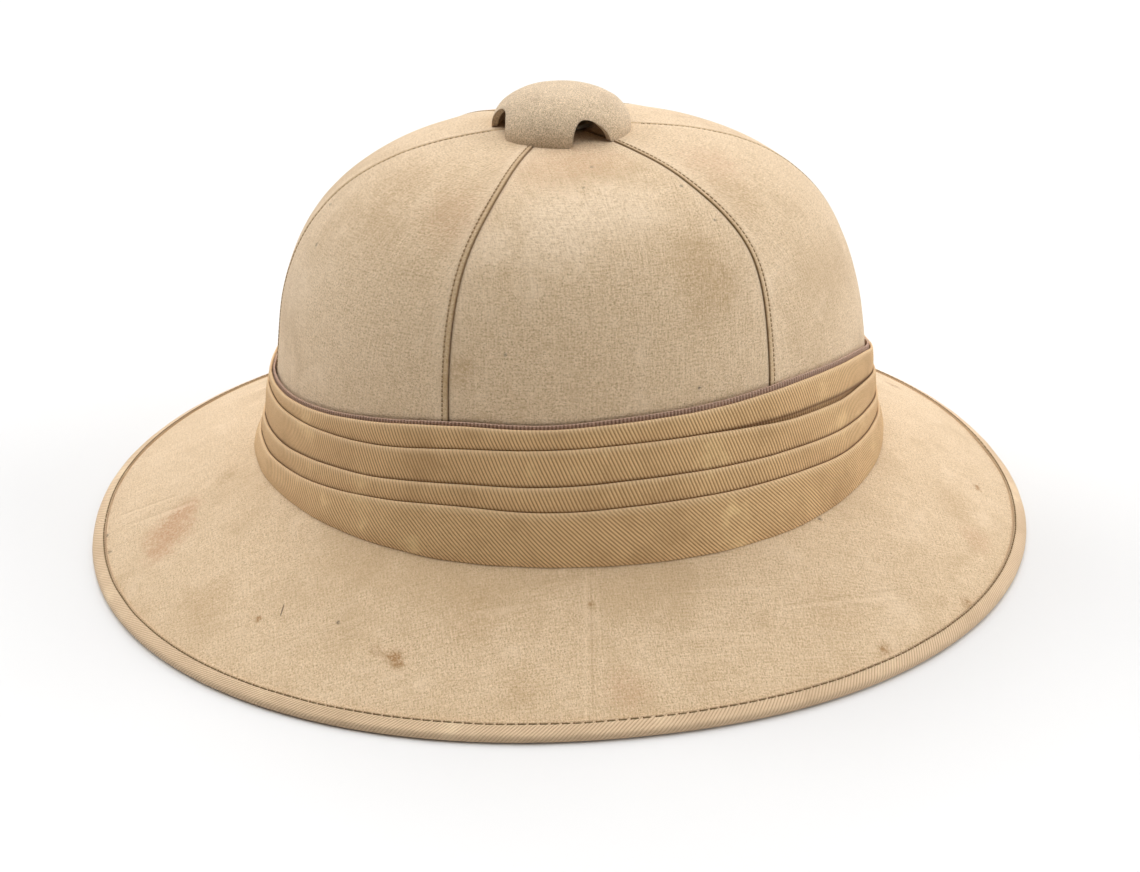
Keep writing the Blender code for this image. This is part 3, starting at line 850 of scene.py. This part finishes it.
def pugaree(material):
    """Four overlapping pleats of twill wrapped round the crown."""

    def place(u, v, depth):
        turn = 2.0 * u
        line = wrap_section(turn)
        row = round(v * WRAP_ROWS)
        before, after = line[max(row - 1, 0)], line[min(row + 1, WRAP_ROWS)]
        tangent = Vector((after[0] - before[0], after[1] - before[1])).normalized()
        half = WRAP_CLOTH * (0.5 - depth)
        wave = WRAP_WAVE * noise.noise(Vector((u * 46.0, line[row][0] * 160.0, 1.0)))
        down = line[row][0] - tangent.y * half
        out = line[row][1] + tangent.x * half
        return wrap_point(turn, down, out + wave)

    def lay(u, v):
        row = round(v * WRAP_ROWS)
        return u * WRAP_ROUND, -wrap_lengths(2.0 * u)[row]

    def marks(u, v):
        down, out, crease_shade, lit = wrap_section(2.0 * u)[round(v * WRAP_ROWS)]
        top, drop, value = wrap_sizes(2.0 * u)
        # The painted shade and painted highlight of the folds, and which slant the ribs take
        return {"crease_shade": crease_shade, "lit": lit, "lowest": 1.0 if down > value["fold_3"] * drop else 0.0}

    piece = cloth("pugaree_wrap", WRAP_STEPS_ROUND, WRAP_ROWS, place, lay, marks, joined=True)
    return dress(piece, [material], "tan_twill", "pugaree")


def ribbed_tape(material):
    """A corded tape between the crown and the pugaree, its top showing."""
    ribs = round(WRAP_ROUND / TAPE_RIB_PITCH)
    height = TAPE_SHOWING + TAPE_TUCKED

    def place(u, v, depth):
        showing = TAPE_SHOWING * wrap_sizes(2.0 * u)[2]["tape"]
        down = TAPE_TUCKED - (TAPE_TUCKED + showing) * v
        ripple = 0.5 + 0.5 * cos(tau * ribs * u)
        out = TAPE_INSET if depth else TAPE_INSET + TAPE_THICKNESS - TAPE_RIB_DEPTH * ripple
        fray = TAPE_FRAY * noise.noise(Vector((u * 600.0, 0.0, 0.0))) if v > 0.9 else 0.0
        return wrap_point(2.0 * u, down + fray, out)

    def lay(u, v):
        return u * ribs * TAPE_RIB_PITCH, v * height

    def marks(u, v):
        # Painted shade in the hollows between the cords
        return {"groove_shade": 0.5 + 0.5 * cos(tau * ribs * u)}

    piece = cloth("ribbed_tape", ribs * TAPE_RIB_STEPS, TAPE_RIB_STEPS, place, lay, marks, joined=True)
    return dress(piece, [material], "mauve_tape", "edge_tape")


# Ventilator

def arch_height(angle):
    """How high the cap's lower edge stands at an angle round it."""
    height = 0.0
    for degrees, width, rise, lean in ARCHES:
        away = (angle - radians(degrees) + pi) % tau - pi
        across = away * CAP_RADIUS / (width / 2)
        if abs(across) < 1.0:
            leaning = across - 2.0 * lean * (1.0 - across**2)
            height = rise * (1.0 - min(1.0, abs(leaning)) ** ARCH_FULLNESS) ** (1 / ARCH_FULLNESS)
        else:
            beside = max(0.0, 1.0 - (abs(across) - 1.0) / ARCH_FOOT_REACH)
            height = max(height, ARCH_FOOT * beside**2)
    return height


def vent_cap(material):
    """A felted cloth dome on four feet, with an arch between each two."""

    def place(u, v, depth):
        angle = tau * u
        radius = CAP_RADIUS - CAP_WALL * depth
        height = CAP_HEIGHT - CAP_WALL * depth
        low = arch_height(angle)
        first = asin(min(1.0, (low / height)) ** (CAP_FULLNESS / 2))
        rise = first + (pi / 2 - first) * v
        out = radius * max(0.0, cos(rise)) ** (2 / CAP_FULLNESS)
        up = height * sin(rise) ** (2 / CAP_FULLNESS)
        point = Vector((out * cos(angle), out * sin(angle), CAP_FOOT + up))
        outwards = Vector((point.x, point.y, up)).normalized()
        return point + outwards * uneven(point, CAP_WAVES) * (1 - depth)

    def lay(u, v):
        return u * tau * CAP_RADIUS, v * CAP_CLOTH

    def marks(u, v):
        # Painted shade darkening the felt towards its lower edge
        return {"edge": exp(-v / 0.05)}

    piece = cloth("vent_cap", *CAP_GRID, place, lay, marks, joined=True)
    return dress(piece, [material], "grey_khaki_cloth", "ventilator_cap")


# Finishes

class Finish:
    """A procedural material built up from coordinates, patterns and colours."""

    def __init__(self, name, roughness, sheen=0.0):
        self.material = bpy.data.materials.new(name)
        self.material.use_nodes = True
        self.tree = self.material.node_tree
        self.shader = self.tree.nodes["Principled BSDF"]
        self.height = None
        looks = {"Roughness": roughness, "Specular IOR Level": 0.25}
        looks.update({"Sheen Weight": sheen, "Sheen Roughness": 0.6})
        for socket, value in looks.items():
            self.feed(self.shader.inputs[socket], value)

    def node(self, kind, inputs, **settings):
        """A new node with its settings, and its inputs fed by name or number."""
        node = self.tree.nodes.new(kind)
        for setting, value in settings.items():
            setattr(node, setting, value)
        for socket, value in inputs.items():
            self.feed(node.inputs[socket], value)
        return node

    def feed(self, socket, value):
        """Sets a socket to a number or colour, or joins another node's output to it."""
        if isinstance(value, bpy.types.NodeSocket):
            self.tree.links.new(value, socket)
        elif isinstance(value, tuple) and len(value) == 3 and socket.type == "RGBA":
            socket.default_value = (*value, 1.0)
        else:
            socket.default_value = value

    def sums(self, operation, first, second):
        return self.node("ShaderNodeMath", {0: first, 1: second}, operation=operation).outputs[0]

    def places(self, stretch=(1.0, 1.0, 1.0), turned=0.0, source="UV"):
        """Places on the flat cloth, or in the helmet's space with source Object."""
        space = self.node("ShaderNodeTexCoord", {}).outputs[source]
        inputs = {"Vector": space, "Scale": stretch, "Rotation": (0.0, 0.0, turned)}
        return self.node("ShaderNodeMapping", inputs).outputs[0]

    def clouds(self, places, scale, detail=3.0, roughness=0.55):
        inputs = {"Vector": places, "Scale": scale, "Detail": detail, "Roughness": roughness}
        return self.node("ShaderNodeTexNoise", inputs).outputs["Fac"]

    def ribs(self, places, pitch):
        """Even ridges a pitch apart, in metres."""
        inputs = {"Vector": places, "Scale": pi / (10.0 * pitch), "Distortion": 0.6}
        inputs.update({"Detail": 2.0, "Detail Scale": 0.4})
        node = self.node("ShaderNodeTexWave", inputs, wave_type="BANDS", bands_direction="X")
        return node.outputs["Fac"]

    def band(self, value, low, high):
        """0 at low and below, 1 at high and above."""
        inputs = {"Value": value, "From Min": low, "From Max": high}
        return self.node("ShaderNodeMapRange", inputs, interpolation_type="SMOOTHSTEP").outputs["Result"]

    def mixed(self, share, first, second):
        """The first colour where the share is 0, the second where it is 1."""
        inputs = {"Factor": share, 6: first, 7: second}
        return self.node("ShaderNodeMix", inputs, data_type="RGBA").outputs[2]

    def scaled(self, share, strength):
        return self.sums("MULTIPLY", share, strength)

    def tinted(self, colour, share, strength, tint):
        """A colour turned towards a tint, by a share of a strength."""
        return self.mixed(self.scaled(share, strength), colour, tint)

    def banded(self, colour, *layers):
        """A colour under layers, each a pattern, its values where the layer begins and is full, a
        strength and a tint."""
        for pattern, low, high, strength, tint in layers:
            colour = self.tinted(colour, self.band(pattern, low, high), strength, tint)
        return colour

    def mark(self, name):
        """A named shade of the cloth."""
        return self.node("ShaderNodeAttribute", {}, attribute_name=name).outputs["Fac"]

    def shaded(self, colour, *shades):
        """The finished colour under the cloth's named shades, each with a strength and a tint."""
        for name, strength, tint in shades:
            colour = self.tinted(colour, self.mark(name), strength, tint)
        return self.done(colour)

    def raise_by(self, pattern, depth):
        """Adds a pattern's relief, whose ridges stand a depth in metres above its grooves."""
        height = self.scaled(pattern, depth)
        self.height = height if self.height is None else self.sums("ADD", self.height, height)

    def away(self, place):
        """How far each point is from a place on the helmet."""
        inputs = {0: self.node("ShaderNodeTexCoord", {}).outputs["Object"], 1: place}
        return self.node("ShaderNodeVectorMath", inputs, operation="DISTANCE").outputs["Value"]

    def wandering(self, distance, ragged, reach):
        """A distance made uneven by a pattern, by up to half of a reach."""
        wander = self.scaled(self.sums("SUBTRACT", ragged, 0.5), reach)
        return self.sums("ADD", distance, wander)

    def blot(self, colour, stained, centre, reach, strength, ragged, flecked):
        """A soft-edged mark round a place on the helmet, its edge worn ragged and its middle flecked."""
        distance = self.wandering(self.away(centre), ragged, reach * 2.8)
        soft = self.scaled(self.band(distance, reach * 1.3, reach * 0.2), strength)
        return self.tinted(colour, soft, flecked, stained)

    def line(self, colour, stained, start, end, width, strength, ragged):
        """A fine line from one place on the helmet to another. A point at a distance from the line makes
        the way past it longer by twice the distance squared over the line's length."""
        length = (end - start).length
        ways = self.sums("ADD", self.away(start), self.away(end))
        detour = self.wandering(self.sums("SUBTRACT", ways, length), ragged, 5.0 * width**2 / length)
        return self.tinted(colour, self.band(detour, 4.0 * width**2 / length, 0.0), strength, stained)

    def done(self, colour):
        """Joins the colour and the relief to the shader."""
        self.feed(self.shader.inputs["Base Color"], colour)
        if self.height is not None:
            bump = self.node("ShaderNodeBump", {"Strength": 1.0, "Distance": 1.0, "Height": self.height})
            self.feed(self.shader.inputs["Normal"], bump.outputs["Normal"])
        return self.material


# Colours
CREAM = (0.77, 0.56, 0.34)
CREAM_PALE = (0.96, 0.75, 0.525)
# Dirty cream: the tint of dirt on the cotton, and also of the painted shade on the brim beside the
# pugaree and the binding
CREAM_DIRT_AND_SHADE = (0.57, 0.385, 0.20)
GRAIN_SHADE = (0.40, 0.26, 0.125)
FOOT_DUST = (0.42, 0.32, 0.24)
STRIP_TAN = (0.55, 0.36, 0.165)
SEAM_SHADE = (0.23, 0.12, 0.035)
# Colours of the old marks; the same colours also paint the shade and highlight of small wrinkles along
# the brim's lines
MARK_COLOURS = {
    "tan": (0.50, 0.31, 0.135),
    "rosy": (0.60, 0.33, 0.17),
    "rust_and_shade": (0.42, 0.215, 0.075),
    "bleach_and_highlight": (1.0, 0.79, 0.56),
    "speck": (0.14, 0.08, 0.04),
}
PUGAREE_RIB = (0.84, 0.55, 0.275)
PUGAREE_GROOVE = (0.40, 0.22, 0.085)
# Tints of the painted highlight on the pleats' top edges and of the painted shade in their folds
PUGAREE_LIT = (0.92, 0.66, 0.39)
PUGAREE_CREASE_SHADE = (0.15, 0.06, 0.015)
BINDING_RIB = (0.82, 0.605, 0.395)
BINDING_SHADE = (0.55, 0.375, 0.22)
# Tint of the painted shade along the binding's stitching line
BINDING_GROOVE_SHADE = (0.28, 0.18, 0.09)
BINDING_ROLLED = (0.46, 0.31, 0.18)
# Tint of the painted shade at the binding's inner edge
BINDING_CREASE_SHADE = (0.22, 0.125, 0.055)
TAPE_RIB = (0.60, 0.39, 0.28)
TAPE_SHADE = (0.25, 0.125, 0.075)
TAPE_FUZZ = (0.66, 0.49, 0.36)
FELT_DARK = (0.42, 0.295, 0.165)
FELT_PALE = (0.98, 0.765, 0.53)
FELT_SOFT = (0.46, 0.325, 0.19)
FELT_SCUFFED = (0.48, 0.33, 0.20)
FELT_FOOT_SHADE = (0.30, 0.21, 0.13)
TAN_THREAD = (0.62, 0.45, 0.27)
OLIVE_THREAD = (0.30, 0.21, 0.10)
# Dark tints of the discs that paint the shade in the needle holes
SEAM_HOLE_SHADE = (0.38, 0.24, 0.11)
NEEDLE_HOLE_SHADE = (0.24, 0.135, 0.055)
POST_TONES = ((0.17, 0.14, 0.10), (0.36, 0.32, 0.25))
FLOOR_TONES = ((0.80, 0.80, 0.80), (0.82, 0.82, 0.82))


def woven(finish, colour):
    """A plain weave: uneven threads both ways and a speckled grain, in colour and in relief."""
    warp = finish.clouds(finish.places((1400.0, 150.0, 1.0)), 1.0, 3.0, 0.75)
    weft = finish.clouds(finish.places((210.0, 1400.0, 1.0)), 1.0, 3.0, 0.75)
    grain = finish.clouds(finish.places(), 1500.0, 3.0, 0.8)
    slubs = finish.clouds(finish.places(), 620.0, 3.0, 0.7)
    for yarns in (warp, weft):
        finish.raise_by(finish.band(yarns, 0.3, 0.7), 0.00009)
    finish.raise_by(grain, 0.00018)
    threads = finish.sums("ADD", warp, weft)
    return finish.banded(
        colour,
        (threads, 0.95, 1.22, 0.55, CREAM_PALE),
        (threads, 1.00, 0.77, 0.40, CREAM_DIRT_AND_SHADE),
        (grain, 0.52, 0.63, 0.90, CREAM_PALE),
        (grain, 0.47, 0.36, 0.78, GRAIN_SHADE),
        (slubs, 0.42, 0.26, 0.40, CREAM_DIRT_AND_SHADE),
    )


def weathered(finish, colour, dirt):
    """Broad patches where the cotton has yellowed, smaller scuffs and thin streaks along the threads."""
    space = finish.places(source="Object")
    broad = finish.clouds(space, 16.0, 5.0, 0.65)
    scuffed = finish.clouds(space, 60.0, 6.0, 0.72)
    streaks = finish.clouds(finish.places((260.0, 14.0, 1.0)), 1.0, 3.0, 0.7)
    return finish.banded(
        colour,
        (broad, 0.48, 0.70, dirt, CREAM_DIRT_AND_SHADE),
        (scuffed, 0.52, 0.74, dirt, CREAM_DIRT_AND_SHADE),
        (scuffed, 0.47, 0.28, 0.45, CREAM_PALE),
        (streaks, 0.55, 0.75, 0.35, CREAM_PALE),
        (streaks, 0.42, 0.25, 0.30, CREAM_DIRT_AND_SHADE),
    )


def marked(finish, colour, marks, place):
    """Lays the old marks of a table over the cotton, each at the point that place gives for it."""
    ragged = finish.clouds(finish.places(source="Object"), 230.0, 6.0, 0.85)
    flecks = finish.clouds(finish.places(), 800.0, 3.0, 0.8)
    flecked = finish.sums("ADD", finish.band(flecks, 0.40, 0.60), 0.30)
    for turn, share, reach, strength, kind in marks:
        spot = place(turn, share)
        colour = finish.blot(colour, MARK_COLOURS[kind], spot, reach, strength, ragged, flecked)
    return colour, ragged


def crown_cotton():
    finish = Finish("crown_cotton", 0.88, 0.25)
    colour = weathered(finish, woven(finish, CREAM), 0.50)
    colour, ragged = marked(finish, colour, CROWN_MARKS, crown_point)
    # Paler beside the seams: partly rubbed wear, partly a painted highlight on the raised cloth
    colour = finish.tinted(colour, finish.mark("worn"), 0.40, CREAM_PALE)
    dusty = finish.scaled(finish.mark("dusty"), finish.band(ragged, 0.30, 0.60))
    colour = finish.tinted(colour, dusty, 0.35, FOOT_DUST)
    # The folded strips are tinted tan, and the seams' creases are darkened with painted shade
    return finish.shaded(colour, ("strip", 0.42, STRIP_TAN), ("crease_shade", 0.78, SEAM_SHADE))


def brim_cotton():
    finish = Finish("brim_cotton", 0.88, 0.25)
    colour = weathered(finish, woven(finish, CREAM), 0.45)
    colour, ragged = marked(finish, colour, BRIM_MARKS, brim_path)
    # Paired darker and paler lines paint the shade and highlight of small wrinkles on the brim
    for from_turn, from_share, to_turn, to_share, width, strength, kind in BRIM_LINES:
        start, end = brim_path(from_turn, from_share), brim_path(to_turn, to_share)
        colour = finish.line(colour, MARK_COLOURS[kind], start, end, width, strength, ragged)
    # Painted shade on the brim beside the pugaree's foot and beside the binding
    return finish.shaded(colour, ("foot", 0.20, CREAM_DIRT_AND_SHADE), ("rim", 0.25, CREAM_DIRT_AND_SHADE))


def twill(finish, light, dark, ribs, depth):
    """Raised diagonal ribs with shaded grooves between, speckled and unevenly faded."""
    finish.raise_by(ribs, depth)
    grain = finish.clouds(finish.places(), 1700.0, 3.0, 0.75)
    finish.raise_by(grain, depth * 0.8)
    colour = finish.mixed(finish.band(ribs, 0.02, 0.48), dark, light)
    faded = finish.clouds(finish.places(source="Object"), 45.0, 5.0, 0.65)
    pale = tuple(min(1.0, part * 1.30) for part in light)
    return finish.banded(
        colour,
        (grain, 0.46, 0.28, 0.6, dark),
        (faded, 0.47, 0.75, 0.45, dark),
        (faded, 0.46, 0.28, 0.55, pale),
    )


def pugaree_twill():
    finish = Finish("pugaree_twill", 0.82, 0.10)
    steep = finish.ribs(finish.places(turned=radians(-22)), 0.00105)
    slanting = finish.ribs(finish.places(turned=radians(-42)), 0.00095)
    ribs = finish.mixed(finish.mark("lowest"), steep, slanting)
    colour = twill(finish, PUGAREE_RIB, PUGAREE_GROOVE, ribs, 0.00020)
    # Painted highlight along each pleat's top edge, and painted shade in the folds between pleats
    return finish.shaded(colour, ("lit", 0.60, PUGAREE_LIT), ("crease_shade", 0.92, PUGAREE_CREASE_SHADE))


def binding_twill():
    finish = Finish("binding_twill_cloth", 0.84, 0.15)
    ribs = finish.ribs(finish.places(turned=radians(-40)), 0.0009)
    colour = twill(finish, BINDING_RIB, BINDING_SHADE, ribs, 0.00012)
    # Painted shade along the stitching line and at the binding's inner edge
    shades = (("groove_shade", 0.12, BINDING_GROOVE_SHADE), ("rolled", 0.30, BINDING_ROLLED))
    return finish.shaded(colour, *shades, ("crease_shade", 0.65, BINDING_CREASE_SHADE))


def tape_cloth():
    finish = Finish("mauve_tape_cloth", 0.92, 0.30)
    fuzz = finish.clouds(finish.places(), 2300.0, 3.0, 0.75)
    finish.raise_by(fuzz, 0.00030)
    # Painted shade in the hollows between the cords
    colour = finish.mixed(finish.mark("groove_shade"), TAPE_RIB, TAPE_SHADE)
    return finish.done(finish.tinted(colour, finish.band(fuzz, 0.48, 0.75), 0.7, TAPE_FUZZ))


def cap_felt():
    finish = Finish("cap_felt", 0.92, 0.25)
    space = finish.places(source="Object")
    fine = finish.clouds(space, 2200.0, 3.0, 0.75)
    soft = finish.clouds(space, 300.0, 5.0, 0.7)
    finish.raise_by(fine, 0.00020)
    finish.raise_by(soft, 0.00060)
    colour = finish.mixed(finish.band(fine, 0.30, 0.70), FELT_DARK, FELT_PALE)
    scuffed = finish.clouds(space, 90.0, 5.0, 0.7)
    layers = ((soft, 0.50, 0.75, 0.50, FELT_SOFT), (scuffed, 0.50, 0.72, 0.40, FELT_SCUFFED))
    colour = finish.banded(colour, *layers)
    # Painted shade darkening the felt towards its lower edge
    return finish.shaded(colour, ("edge", 0.40, FELT_FOOT_SHADE))


def thread(name, colour):
    finish = Finish(name, 0.7)
    strands = finish.clouds(finish.places(source="Object"), 2500.0, 2.0)
    finish.raise_by(strands, 0.00008)
    dark = tuple(part * 0.55 for part in colour)
    return finish.done(finish.mixed(strands, dark, colour))


def post_metal():
    finish = Finish("aged_post", 0.55)
    finish.shader.inputs["Metallic"].default_value = 0.6
    patches = finish.clouds(finish.places(source="Object"), 180.0, 4.0)
    finish.raise_by(patches, 0.00006)
    return finish.done(finish.mixed(patches, *POST_TONES))


# Studio

def floor():
    shape = bmesh.new()
    bmesh.ops.create_grid(shape, x_segments=1, y_segments=1, size=5.0)
    bmesh.ops.translate(shape, verts=shape.verts[:], vec=(0.0, 0.0, -0.0001))
    piece = finished("studio_floor", shape)
    finish = Finish("pale_floor", 0.9)
    dust = finish.clouds(finish.places(source="Object"), 3.0, 2.0)
    piece.data.materials.append(finish.done(finish.mixed(dust, *FLOOR_TONES)))


def aimed(item, place, sight, up):
    """Puts a lamp or camera at a place, looking along a line of sight."""
    back = -sight.normalized()
    side = up.cross(back).normalized()
    turned = Matrix((side, back.cross(side), back)).transposed().to_4x4()
    item.matrix_world = Matrix.Translation(place) @ turned
    bpy.context.scene.collection.objects.link(item)


def studio():
    """The camera, the soft lights and the floor. The world is white to the camera and dim to the hat."""
    scene = bpy.context.scene
    scene.world = bpy.data.worlds.new("studio_white")
    scene.world.use_nodes = True
    tree = scene.world.node_tree
    background = tree.nodes["Background"]
    background.inputs["Color"].default_value = (1.0, 1.0, 1.0, 1.0)
    seen = tree.nodes.new("ShaderNodeLightPath").outputs["Is Camera Ray"]
    strength = tree.nodes.new("ShaderNodeMapRange")
    strength.inputs["To Min"].default_value = ROOM_LIGHT
    tree.links.new(seen, strength.inputs["Value"])
    tree.links.new(strength.outputs["Result"], background.inputs["Strength"])
    for name, place, power in LIGHTS:
        lamp = bpy.data.lights.new(name, "SUN")
        lamp.angle = LIGHT_SPREAD
        lamp.energy = power
        place = Vector(place)
        aimed(bpy.data.objects.new(name, lamp), place, -place, Vector((0.0, 1.0, 0.01)))
    camera = bpy.data.cameras.new("photo_camera")
    camera.sensor_fit = "HORIZONTAL"
    camera.sensor_width = 36.0
    camera.lens = CAMERA_LENS
    camera.clip_start = 0.01
    viewer = bpy.data.objects.new("photo_camera", camera)
    aimed(viewer, CAMERA_PLACE, CAMERA_SIGHT, CAMERA_UP)
    scene.camera = viewer
    scene.view_settings.view_transform = "Standard"
    floor()


def main():
    studio()
    cotton = crown_cotton()
    brim_cover(brim_cotton())
    for number in range(6):
        crown_panel(number, cotton)
    # Each row of stitches has a thread finish and a painted shade finish for its needle holes
    panel_stitching([thread("tan_thread", TAN_THREAD), thread("seam_hole_shade", SEAM_HOLE_SHADE)])
    brim_binding(binding_twill())
    binding_stitching([thread("olive_thread", OLIVE_THREAD), thread("needle_hole_shade", NEEDLE_HOLE_SHADE)])
    ribbed_tape(tape_cloth())
    pugaree(pugaree_twill())
    vent_cap(cap_felt())
    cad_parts["ventilator_post"].material_slots[0].material = post_metal()


main()
